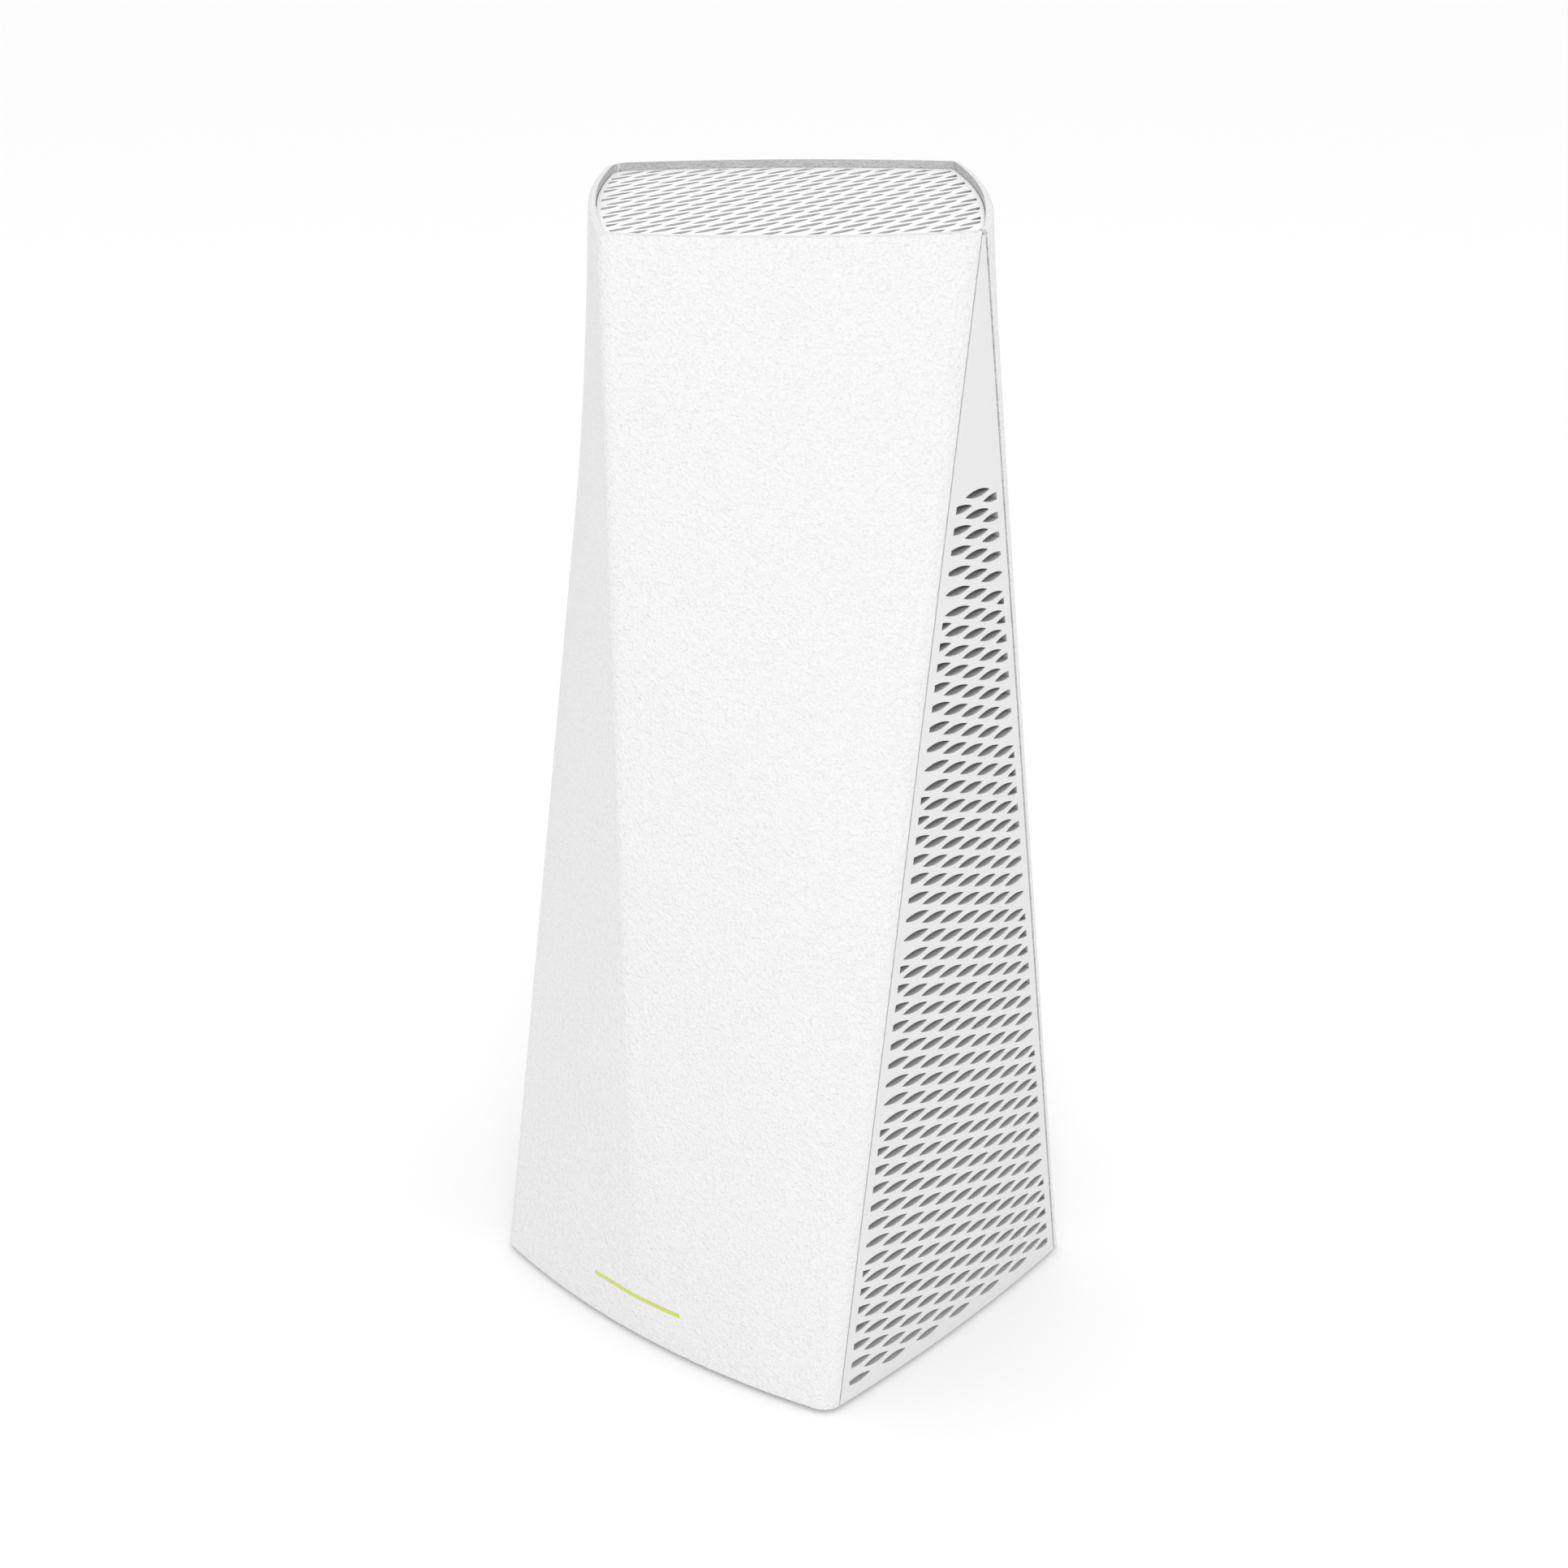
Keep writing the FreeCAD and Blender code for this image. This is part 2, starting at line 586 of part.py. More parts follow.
strip = strip.cut(seam_prism(-dim("rib_inside"), low - 1, SKIN_TOP - 20, 20, 80))
ribs = band(dim("rib_out"), dim("rib_in"), low, dim("crown_top")).common(strip)
frame = band(dim("ring_out"), dim("ring_in"), low, dim("ring_top"))
frame = frame.fuse([band(dim("ring_out"), dim("crown_in"), dim("crown_low"), dim("crown_top"))])
frame = frame.fuse([ribs, half_turned(ribs)] + bars)
cuts = [
    block((-34.5, 34.5), (37.5, 60), (0, 28)),
    block((-17, 17), (-60, -42), (8, 15)),
]
for i, j in corners:
    cuts.append(Part.makeCylinder(dim("base_shank_rad") + 0.05, 8.5,
                                  Vector(i * dim("boss_x"), j * dim("boss_y"), 5)))
screw_hole = dim("screw_rad") + 0.05
MAIN_SCREWS = [(i * 28.8, level) for i in (-1, 1) for level in (32, 206)]
RADIO_SCREWS = [(i * 22.0, level) for i in (-1, 1) for level in (47, 173)]
IO_SCREWS = [(i * 30.0, 22.0) for i in (-1, 1)]
for x, z in MAIN_SCREWS:
    cuts.append(Part.makeCylinder(screw_hole, 5, Vector(x, main_back - 1, z), Vector(0, 1, 0)))
for x, z in RADIO_SCREWS:
    cuts.append(Part.makeCylinder(screw_hole, 5, Vector(x, radio_y - 1, z), Vector(0, 1, 0)))
for x, y in IO_SCREWS:
    cuts.append(Part.makeCylinder(screw_hole, 5, Vector(x, y, 5)))
frame = frame.cut(cuts).removeSplitter()
frame = max(frame.Solids, key=lambda solid: solid.Volume)
finish(feature("core_frame", frame), "core_frame")


# ---------------------------------------------------------------- bound primitives
def box(name, x, y, z):
    """Part::Box between expression limits in X, Y and Z."""
    obj = doc.addObject("Part::Box", name)
    for prop, axis, limits in (("Length", "x", x), ("Width", "y", y), ("Height", "z", z)):
        obj.setExpression("Placement.Base." + axis, ref(limits[0]))
        obj.setExpression(prop, ref("(%s) - (%s)" % (limits[1], limits[0])))
    return obj


def rod(name, radius, length, at, turn=None):
    """Part::Cylinder bound to expressions; turn swings it from Z."""
    obj = doc.addObject("Part::Cylinder", name)
    if turn:
        obj.Placement = Placement(Vector(0, 0, 0), turn)
    obj.setExpression("Radius", ref(radius))
    obj.setExpression("Height", ref(length))
    for axis, text in zip("xyz", at):
        obj.setExpression("Placement.Base." + axis, ref(text))
    return obj


def cut(name, base, tools):
    """Part::Cut of one or more tools from a base."""
    tool = tools[0] if len(tools) == 1 else fuse(name + "_tools", tools)
    obj = doc.addObject("Part::Cut", name)
    obj.Base = base
    obj.Tool = tool
    return obj


def fuse(name, shapes):
    """Part::MultiFuse."""
    obj = doc.addObject("Part::MultiFuse", name)
    obj.Shapes = shapes
    return obj


def group(name, shapes):
    """Part::Compound of separate solids."""
    obj = doc.addObject("Part::Compound", name)
    obj.Links = shapes
    return obj


TO_BACK = Rotation(Vector(1, 0, 0), -90)


# ---------------------------------------------------------------- sketched bodies
def body(label, x="0", y="0", z="0"):
    """PartDesign::Body whose place is bound to expressions."""
    obj = doc.addObject("PartDesign::Body", "Body_" + label)
    for axis, text in zip("xyz", (x, y, z)):
        obj.setExpression("Placement.Base." + axis, ref(text))
    return obj


def sketch(owner, role, name, lift="0", side_x="0", side_y="0"):
    """Sketch on one of a body's origin planes, shifted by expressions."""
    plane = [item for item in owner.Origin.OriginFeatures if item.Role == role][0]
    obj = owner.newObject("Sketcher::SketchObject", name)
    obj.AttachmentSupport = [(plane, "")]
    obj.MapMode = "FlatFace"
    obj.setExpression("AttachmentOffset.Base.x", ref(side_x))
    obj.setExpression("AttachmentOffset.Base.y", ref(side_y))
    obj.setExpression("AttachmentOffset.Base.z", ref(lift))
    return obj


def rectangle(owner, role, name, wide, high, **shift):
    """Sketch of a rectangle centred on its origin."""
    obj = sketch(owner, role, name, **shift)
    points = [Vector(-5, -4, 0), Vector(5, -4, 0), Vector(5, 4, 0), Vector(-5, 4, 0)]
    for k in range(4):
        obj.addGeometry(Part.LineSegment(points[k], points[(k + 1) % 4]), False)
    for k in range(4):
        obj.addConstraint(Sketcher.Constraint("Coincident", k, 2, (k + 1) % 4, 1))
    for kind, line in (("Horizontal", 0), ("Vertical", 1), ("Horizontal", 2), ("Vertical", 3)):
        obj.addConstraint(Sketcher.Constraint(kind, line))
    obj.addConstraint(Sketcher.Constraint("Symmetric", 0, 1, 2, 1, -1, 1))
    first = obj.addConstraint(Sketcher.Constraint("DistanceX", 0, 1, 0, 2, 10))
    second = obj.addConstraint(Sketcher.Constraint("DistanceY", 1, 1, 1, 2, 8))
    obj.setExpression("Constraints[%d]" % first, ref(wide))
    obj.setExpression("Constraints[%d]" % second, ref(high))
    return obj


def circle(owner, role, name, radius, **shift):
    """Sketch of a circle on its origin."""
    obj = sketch(owner, role, name, **shift)
    obj.addGeometry(Part.Circle(Vector(0, 0, 0), Vector(0, 0, 1), 2), False)
    obj.addConstraint(Sketcher.Constraint("Coincident", 0, 3, -1, 1))
    size = obj.addConstraint(Sketcher.Constraint("Radius", 0, 2))
    obj.setExpression("Constraints[%d]" % size, ref(radius))
    return obj


def pad(owner, profile, length):
    """Pad grown to both sides of its sketch."""
    obj = owner.newObject("PartDesign::Pad", "Pad")
    obj.Profile = profile
    obj.Midplane = True
    obj.setExpression("Length", ref(length))
    owner.Tip = obj
    return obj


def pocket(owner, profile, depth):
    """Pocket sunk to both sides of its sketch."""
    obj = owner.newObject("PartDesign::Pocket", "Pocket")
    obj.Profile = profile
    obj.Midplane = True
    obj.setExpression("Length", ref(depth))
    owner.Tip = obj
    return obj


def lathe(label, steps, x, y, z):
    """Body turned about Y from (radius, length) steps, starting at its origin."""
    owner = body(label, x, y, z)
    obj = sketch(owner, "XY_Plane", "Profile_" + label)
    points = [Vector(0, 0, 0)]
    level = 0.0
    for k in range(len(steps)):
        points += [Vector(4.0 - k, level, 0), Vector(4.0 - k, level + 2, 0)]
        level += 2
    points.append(Vector(0, level, 0))
    count = len(points)
    for k in range(count):
        obj.addGeometry(Part.LineSegment(points[k], points[(k + 1) % count]), False)
    for k in range(count):
        obj.addConstraint(Sketcher.Constraint("Coincident", k, 2, (k + 1) % count, 1))
    obj.addConstraint(Sketcher.Constraint("Coincident", 0, 1, -1, 1))
    for k in range(count):
        obj.addConstraint(Sketcher.Constraint("Horizontal" if k % 2 == 0 else "Vertical", k))
    for k, (radius, length) in enumerate(steps):
        line = 2 * k + 1
        size = obj.addConstraint(Sketcher.Constraint("DistanceX", -1, 1, line, 1, 4.0 - k))
        obj.setExpression("Constraints[%d]" % size, ref(radius))
        size = obj.addConstraint(Sketcher.Constraint("DistanceY", line, 1, line, 2, 2.0))
        obj.setExpression("Constraints[%d]" % size, ref(length))
    turned = owner.newObject("PartDesign::Revolution", "Revolution")
    turned.Profile = obj
    turned.ReferenceAxis = (obj, ["V_Axis"])
    turned.Angle = 360
    owner.Tip = turned
    return owner


# ---------------------------------------------------------------- feet, screws, label
feet = []
base_screws = []
for number, (i, j) in enumerate(corners):
    at = ("%d * [foot_x]" % i, "%d * [foot_y]" % j, "0")
    feet.append(rod("Foot%d" % number, "[foot_rad]", "[plate_low] + [foot_seat]", at))
    x, y = "%d * [boss_x]" % i, "%d * [boss_y]" % j
    head = rod("BaseHead%d" % number, "[base_head_rad]", "[base_head_high]",
               (x, y, "[plate_top] - [base_head_high]"))
    shank = rod("BaseShank%d" % number, "[base_shank_rad]", "[base_shank_long]",
                (x, y, "[plate_top]"))
    drive = doc.addObject("Part::Prism", "BaseDrive%d" % number)
    drive.Polygon = 6
    drive.setExpression("Circumradius", ref("[base_head_rad] * 0.45"))
    drive.setExpression("Height", ref("[base_head_high] * 0.6"))
    for axis, text in zip("xyz", (x, y, "[plate_top] - [base_head_high]")):
        drive.setExpression("Placement.Base." + axis, ref(text))
    whole = fuse("BaseScrew%d" % number, [head, shank])
    base_screws.append(cut("BaseScrewCut%d" % number, whole, [drive]))
finish(group("Feet", feet), "rubber_feet")
finish(group("BaseScrews", base_screws), "base_screws")
finish(box("Label", ("-[label_long] / 2", "[label_long] / 2"),
           ("-[label_wide] / 2", "[label_wide] / 2"),
           ("[plate_low] - [label_thick]", "[plate_low]")), "rating_label")

board_screws = []


def board_screw(x, y, z, turn, head_shift, shank_shift):
    """Small pan-head screw; the shifts place head and shank along its axis."""
    number = len(board_screws)
    head_at = [x, y, z]
    shank_at = [x, y, z]
    axis = 2 if turn is None else 1
    head_at[axis] = "%s + (%s)" % (head_at[axis], head_shift)
    shank_at[axis] = "%s + (%s)" % (shank_at[axis], shank_shift)
    head = rod("BoardHead%d" % number, "[screw_head_rad]", "[screw_head_high]", head_at, turn)
    shank = rod("BoardShank%d" % number, "[screw_rad]", "[screw_long]", shank_at, turn)
    board_screws.append(fuse("BoardScrew%d" % number, [head, shank]))


for x, z in MAIN_SCREWS:
    board_screw(str(x), "[main_y]", str(z), TO_BACK, "-[screw_head_high]", "0")
for x, z in RADIO_SCREWS:
    board_screw(str(x), "[radio_y] - [board_thick]", str(z), TO_BACK, "-[screw_head_high]", "0")
for x, y in IO_SCREWS:
    board_screw(str(x), str(y), "[beam_top] + [board_thick]", None, "0", "-[screw_long]")
finish(group("BoardScrews", board_screws), "board_screws")


# ---------------------------------------------------------------- boards
def board(label, wide, high, role, x, y, z, screw_points):
    """Circuit board: a rectangle centred on its body's origin with screw holes."""
    owner = body(label, x, y, z)
    outline = rectangle(owner, role, "Outline_" + label, wide, high)
    pad(owner, outline, "[board_thick]")
    for number, (across, upwards) in enumerate(screw_points):
        name = "Hole_%s_%d" % (label, number)
        ring = circle(owner, role, name, "[screw_rad] + 0.1", side_x=across, side_y=upwards)
        pocket(owner, ring, "3 * [board_thick]")
    return finish(owner, label)


main_mid = "([main_low] + [main_top]) / 2"
radio_mid = "([radio_low] + [radio_top]) / 2"
io_mid = "([io_front] + [io_back]) / 2"
board("main_board", "2 * [main_half]", "[main_top] - [main_low]", "XZ_Plane",
      "0", "[main_y] + [board_thick] / 2", main_mid,
      [(str(x), "%s - %s" % (z, main_mid)) for x, z in MAIN_SCREWS])
board("radio_board", "2 * [radio_half]", "[radio_top] - [radio_low]", "XZ_Plane",
      "0", "[radio_y] - [board_thick] / 2", radio_mid,
      [(str(x), "%s - %s" % (z, radio_mid)) for x, z in RADIO_SCREWS])
board("io_board", "2 * [io_half]", "[io_back] - [io_front]", "XY_Plane",
      "0", io_mid, "[beam_top] + [board_thick] / 2",
      [(str(x), "%s - %s" % (y, io_mid)) for x, y in IO_SCREWS])
IO_TOP = "[beam_top] + [board_thick]"
MAIN_BACK = "[main_y] + [board_thick]"
RADIO_FRONT = "[radio_y] - [board_thick]"
finish(box("Link", ("-15", "15"), (MAIN_BACK, MAIN_BACK + " + 8"), (IO_TOP, IO_TOP + " + 11")),
       "board_link")

# heat sink with its processor and pad
owner = body("heatsink", "0", "[main_y] - [chip_thick] - [pad_thick]", "[sink_low] + [sink_long] / 2")
foot = rectangle(owner, "XY_Plane", "SinkBase", "2 * [sink_half]", "[sink_base]",
                 side_y="-[sink_base] / 2")
pad(owner, foot, "[sink_long]")
fin = rectangle(owner, "XY_Plane", "SinkFin", "[fin_thick]", "[fin_deep] + 1",
                side_x="-[sink_half] + [fin_thick] / 2", side_y="-[sink_base] - [fin_deep] / 2 + 0.5")
fin_pad = pad(owner, fin, "[sink_long]")
rows_of_fins = owner.newObject("PartDesign::LinearPattern", "Fins")
rows_of_fins.Originals = [fin_pad]
rows_of_fins.Direction = (fin, ["H_Axis"])
rows_of_fins.setExpression("Length", ref("2 * [sink_half] - [fin_thick]"))
rows_of_fins.setExpression("Occurrences", ref("[fin_count]"))
owner.Tip = rows_of_fins
finish(owner, "heatsink")
chip_x = ("-[chip_side] / 2", "[chip_side] / 2")
chip_z = ("[chip_mid] - [chip_side] / 2", "[chip_mid] + [chip_side] / 2")
finish(box("Processor", chip_x, ("[main_y] - [chip_thick]", "[main_y]"), chip_z), "processor_chip")
finish(box("ThermalPad", chip_x, ("[main_y] - [chip_thick] - [pad_thick]",
                                  "[main_y] - [chip_thick]"), chip_z), "thermal_pad")


def shield_can(label, half, low_z, high_z, y_face, side):
    """Folded cover open towards its board; side is the way it stands out from the board."""
    height = high_z - low_z
    owner = body(label, "0", "%s + %d * 1.5" % (y_face, side), str((low_z + high_z) / 2))
    outline = rectangle(owner, "XZ_Plane", "Outer_" + label, "2 * %s" % half, str(height))
    pad(owner, outline, "3")
    inner = rectangle(owner, "XZ_Plane", "Inner_" + label, "2 * %s - 0.8" % half,
                      str(height - 0.8), lift="%d * 0.4" % side)
    pocket(owner, inner, "3")
    return finish(owner, label)


shield_can("shield_lower", 20, 50, 88, MAIN_BACK, 1)
shield_can("shield_upper", 20, 102, 150, MAIN_BACK, 1)
shield_can("shield_radio", 18, 60, 150, RADIO_FRONT, -1)
memory = [box("Memory%d" % k, (str(-13 + 15 * k), str(-2 + 15 * k)),
              (MAIN_BACK, MAIN_BACK + " + 1.1"), ("118", "132")) for k in range(2)]
finish(group("Memory", memory), "memory_chips")
radio_chips = [box("RadioChip%d" % k, ("-6", "6"), (RADIO_FRONT + " - 1.2", RADIO_FRONT),
                   (str(72 + 40 * k), str(84 + 40 * k))) for k in range(2)]
finish(group("RadioChips", radio_chips), "radio_chips")

# ---------------------------------------------------------------- sockets
JACK_NAMES = (("lan_jack_a", "[jack_a_x]"), ("lan_jack_b", "[jack_b_x]"))
contacts = []
for label, across in JACK_NAMES:
    owner = body(label, across, "[face_y]", IO_TOP)
    outline = rectangle(owner, "XZ_Plane", "Shell_" + label, "[jack_wide]", "[jack_high]",
                        lift="[jack_deep] / 2", side_y="[jack_high] / 2")
    pad(owner, outline, "[jack_deep]")
    mouth = rectangle(owner, "XZ_Plane", "Mouth_" + label, "[plug_wide]", "[plug_high]",
                      side_y="[jack_high] / 2 + 0.6")
    pocket(owner, mouth, "2 * [plug_deep]")
    latch = rectangle(owner, "XZ_Plane", "Latch_" + label, "[latch_wide]", "[latch_high] * 2",
                      side_y="[jack_high] / 2 + 0.6 - [plug_high] / 2")
    pocket(owner, latch, "2 * [plug_deep]")
    finish(owner, label)
    roof = IO_TOP + " + [jack_high] / 2 + 0.6 + [plug_high] / 2"
    for k in range(8):
        offset = (k - 3.5) * 1.1
        contacts.append(box("Contact_%s_%d" % (label, k),
                            ("%s + %.3f" % (across, offset - 0.2), "%s + %.3f" % (across, offset + 0.2)),
                            ("[face_y] - 11", "[face_y] - 2.5"), (roof + " - 0.5", roof)))
finish(group("Contacts", contacts), "lan_contacts")
magnetics = [box("Magnetics%d" % k, (x + " - 6", x + " + 6"), ("18.4", "24.6"),
                 (IO_TOP, IO_TOP + " + 4")) for k, (_, x) in enumerate(JACK_NAMES)]
finish(group("Magnetics", magnetics), "lan_transformers")

owner = body("dc_jack", "[power_x]", "[face_y]", IO_TOP)
outline = rectangle(owner, "XZ_Plane", "PowerShell", "[power_wide]", "[power_high]",
                    lift="[power_deep] / 2", side_y="[power_high] / 2")
pad(owner, outline, "[power_deep]")
bore = circle(owner, "XZ_Plane", "PowerBore", "[power_bore]", side_y="[power_high] / 2")
pocket(owner, bore, "2 * [power_bore_deep]")
finish(owner, "dc_jack")
finish(lathe("dc_pin", [("[power_pin]", "[power_pin_long]")], "[power_x]",
             "[face_y] - [power_bore_deep]", IO_TOP + " + [power_high] / 2"), "dc_pin")
finish(rod("Capacitor", "2.9", "8", ("-23.5", "17", IO_TOP)), "capacitor")

# ---------------------------------------------------------------- port panel
panel_x = ("-[bay_half] + [bay_gap]", "[bay_half] - [bay_gap]")
panel_z = ("[bay_low] + [bay_gap]", "[bay_top] - [bay_gap]")
tray = box("Tray", panel_x, ("[face_y] - [face_thick]", "56"), panel_z)
hollow = box("TrayHollow", (panel_x[0] + " + [bay_wall]", panel_x[1] + " - [bay_wall]"),
             ("[face_y]", "60"), (panel_z[0] + " + [bay_wall]", panel_z[1] + " - [bay_wall]"))
tools = [hollow]
for number, (_, x) in enumerate(JACK_NAMES):
    tools.append(box("JackHole%d" % number, (x + " - [jack_wide] / 2 - 0.15",
                                             x + " + [jack_wide] / 2 + 0.15"),
                     ("30", "60"), (IO_TOP + " - 0.15", IO_TOP + " + [jack_high] + 0.15")))
tools.append(box("PowerHole", ("[power_x] - [power_wide] / 2 - 0.15",
                               "[power_x] + [power_wide] / 2 + 0.15"),
                 ("30", "60"), (IO_TOP + " - 0.15", IO_TOP + " + [power_high] + 0.15")))
tools.append(rod("SyncHole", "[sync_rad] + [button_play]", "30",
                 ("[sync_x]", "30", "[button_z]"), TO_BACK))
tools.append(rod("ResetHole", "[reset_rad] + [button_play]", "30",
                 ("[reset_x]", "30", "[button_z]"), TO_BACK))
envelope = feature("bay_envelope", tower(0.3))
trimmed = doc.addObject("Part::Common", "TrayTrimmed")
trimmed.Base = tray
trimmed.Tool = envelope
finish(cut("PortPanel", trimmed, tools), "port_panel")

# ---------------------------------------------------------------- buttons
BACK_OF_FACE = "[face_y] - [face_thick]"
FLANGE_Y = BACK_OF_FACE + " - [flange_back] - [flange_thick]"
BUTTONS = (
    ("sync", "[sync_rad]", "[face_thick] + [flange_back] + [sync_out]"),
    ("reset", "[reset_rad]", "[face_thick] + [flange_back] - [reset_in]"),
)
for label, radius, reach in BUTTONS:
    across = "[%s_x]" % label
    steps = [(radius + " + [flange_extra]", "[flange_thick]"), (radius, reach)]
    finish(lathe(label + "_button", steps, across, FLANGE_Y, "[button_z]"), label + "_button")
    plunger = "[plunger_%s]" % label
    finish(lathe(label + "_plunger", [(plunger, "[plunger_long]")], across,
                 FLANGE_Y + " - [plunger_long]", "[button_z]"), label + "_plunger")
    owner = body(label + "_switch", across, "[switch_back]", IO_TOP)
    outline = rectangle(owner, "XZ_Plane", "Case_" + label, "2 * [switch_half]", "[switch_high]",
                        lift="([switch_back] - [switch_front]) / 2", side_y="[switch_high] / 2")
    pad(owner, outline, "[switch_back] - [switch_front]")
    well = circle(owner, "XZ_Plane", "Well_" + label, plunger + " + [plunger_play]",
                  side_y="[button_z] - (%s)" % IO_TOP)
    pocket(owner, well, "2 * [switch_well]")
    finish(owner, label + "_switch")

# ---------------------------------------------------------------- status light board
finish(box("LedBoard", ("-15", "15"), ("-43", "-42"), ("8.5", "14")), "led_board")
leds = [box("Led%d" % k, (str(-11.5 + 7 * k), str(-9.5 + 7 * k)), ("-43.9", "-43"),
            ("9.8", "11.4")) for k in range(4)]
finish(group("Leds", leds), "led_chips")


# ---------------------------------------------------------------- antennas
def blade(label, x, y, z):
    """Printed antenna board."""
    finish(box("Blade_" + label, x, y, z), label)


blade("antenna_right", ("40", "40 + [blade_thick]"), ("0", "18"), ("60", "110"))
blade("antenna_left", ("-40 - [blade_thick]", "-40"), ("0", "18"), ("60", "110"))
blade("antenna_front", ("-11", "11"), ("-34 - [blade_thick]", "-34"), ("150", "187"))
blade("antenna_rear", ("-11", "11"), ("34", "34 + [blade_thick]"), ("150", "187"))
blade("antenna_front_top", ("-11", "11"), ("-24 - [blade_thick]", "-24"), ("198", "231"))
blade("antenna_rear_top", ("-11", "11"), ("24", "24 + [blade_thick]"), ("198", "231"))
tall = dim("plug_tall")
back = main_back + tall
front = radio_y - dim("board_thick") - tall
LEADS = [
    (Vector(25.5, back, 95), Vector(32, 17, 93), Vector(39.4, 15, 95)),
    (Vector(-25.5, back, 95), Vector(-32, 17, 93), Vector(-39.4, 15, 95)),
    (Vector(0, front, 165), Vector(0, -28.5, 162), Vector(0, -33.4, 165)),
    (Vector(0, back, 165), Vector(0, 23, 160), Vector(0, 33.4, 165)),
    (Vector(-3, front, 170), Vector(-3, -28.5, 186), Vector(-3, -25.5, 203)),
    (Vector(-3, back, 190), Vector(-3, 19, 194), Vector(-3, 22.9, 203)),
]
leads = []
plugs = []
for start, middle, end in LEADS:
    path = Part.Arc(start, middle, end)
    tangent = path.tangent(path.FirstParameter)[0]
    profile = Part.Wire(Part.Circle(start, tangent, dim("lead_rad")).toShape())
    leads.append(Part.Wire(path.toShape()).makePipeShell([profile], True, False))
    side = 1 if start.y > 0 else -1
    half = dim("plug_side") / 2
    y_range = sorted((start.y - side * 0.6, start.y - side * tall))
    plugs.append(block((start.x - half, start.x + half), y_range, (start.z - half, start.z + half)))
finish(feature("antenna_leads", Part.makeCompound(leads)), "antenna_leads")
finish(feature("antenna_plugs", Part.makeCompound(plugs)), "antenna_plugs")

# ---------------------------------------------------------------- check and export
doc.recompute()
for obj in doc.Objects:
    if "Invalid" in obj.State or "Error" in obj.State:
        raise RuntimeError("%s: %s" % (obj.Label, obj.State))
for obj in FINISHED:
    shape = obj.Shape
    if shape.isNull() or not shape.isValid() or not shape.Solids:
        raise RuntimeError("%s has no valid solid" % obj.Label)
    shape.exportStep("parts/%s.step" % obj.Label)
    print("%-20s %2d solids %10.2f mm3" % (obj.Label, len(shape.Solids), shape.Volume))
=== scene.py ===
"""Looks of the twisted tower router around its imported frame: materials, light and camera."""
import math

import bpy
from mathutils import Matrix, Vector


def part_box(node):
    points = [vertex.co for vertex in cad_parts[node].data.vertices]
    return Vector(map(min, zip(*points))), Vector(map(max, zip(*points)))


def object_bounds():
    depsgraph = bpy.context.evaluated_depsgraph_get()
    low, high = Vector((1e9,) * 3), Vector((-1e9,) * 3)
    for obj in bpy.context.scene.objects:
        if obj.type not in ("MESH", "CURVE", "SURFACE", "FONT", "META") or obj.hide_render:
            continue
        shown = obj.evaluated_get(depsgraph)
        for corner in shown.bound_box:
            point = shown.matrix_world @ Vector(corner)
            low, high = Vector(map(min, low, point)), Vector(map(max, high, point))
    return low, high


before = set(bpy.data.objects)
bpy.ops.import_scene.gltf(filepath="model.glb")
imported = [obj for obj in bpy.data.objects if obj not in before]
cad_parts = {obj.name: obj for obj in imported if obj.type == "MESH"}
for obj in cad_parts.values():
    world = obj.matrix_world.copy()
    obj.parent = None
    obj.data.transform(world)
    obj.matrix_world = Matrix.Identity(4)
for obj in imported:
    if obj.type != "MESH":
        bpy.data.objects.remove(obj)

CAD_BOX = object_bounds()
MM = 0.001


FACING_IN = -0.7
CLOSED = 0.15
CLOUD_SCALE = 60.0
GLOSS_SPREAD = 0.04
BEVEL_SAMPLES = 6
SHADE_SAMPLES = 4


# ---------------------------------------------------------------- node helpers
class Nodes:
    """A material's node tree with short calls for adding and linking nodes."""

    def __init__(self, name):
        self.material = bpy.data.materials.new(name)
        self.material.use_nodes = True
        self.tree = self.material.node_tree
        self.tree.nodes.clear()
        self.output = self.add("ShaderNodeOutputMaterial")

    def add(self, kind, settings=None, **inputs):
        """Node with attributes set from settings and sockets set or linked from inputs."""
        node = self.tree.nodes.new(kind)
        for key, value in (settings or {}).items():
            setattr(node, key, value)
        for key, value in inputs.items():
            self.join(value, node.inputs[key.replace("_", " ")])
        return node

    def join(self, value, socket):
        """Link an output, or set a plain value."""
        if isinstance(value, bpy.types.NodeSocket):
            self.tree.links.new(value, socket)
        else:
            socket.default_value = value

    def math(self, operation, first, second=0.0):
        """Result of a Math node."""
        node = self.tree.nodes.new("ShaderNodeMath")
        node.operation = operation
        self.join(first, node.inputs[0])
        self.join(second, node.inputs[1])
        return node.outputs[0]

    def ramp(self, factor, stops):
        """Colour of a ColorRamp; stops are (position, grey or colour)."""
        node = self.tree.nodes.new("ShaderNodeValToRGB")
        self.tree.links.new(factor, node.inputs["Fac"])
        elements = node.color_ramp.elements
        while len(elements) < len(stops):
            elements.new(0.5)
        for element, (position, value) in zip(elements, stops):
            element.position = position
            colour = (value, value, value) if isinstance(value, float) else value
            element.color = (*colour, 1.0)
        return node.outputs["Color"]


def object_coordinates(nodes):
    """Position in metres in the frame's own axes."""
    return nodes.add("ShaderNodeTexCoord").outputs["Object"]


def noise(nodes, place, scale, detail=2.0, roughness=0.5):
    """Value of a noise texture."""
    node = nodes.add("ShaderNodeTexNoise", Vector=place, Scale=scale, Detail=detail,
                     Roughness=roughness)
    return node.outputs["Fac"]


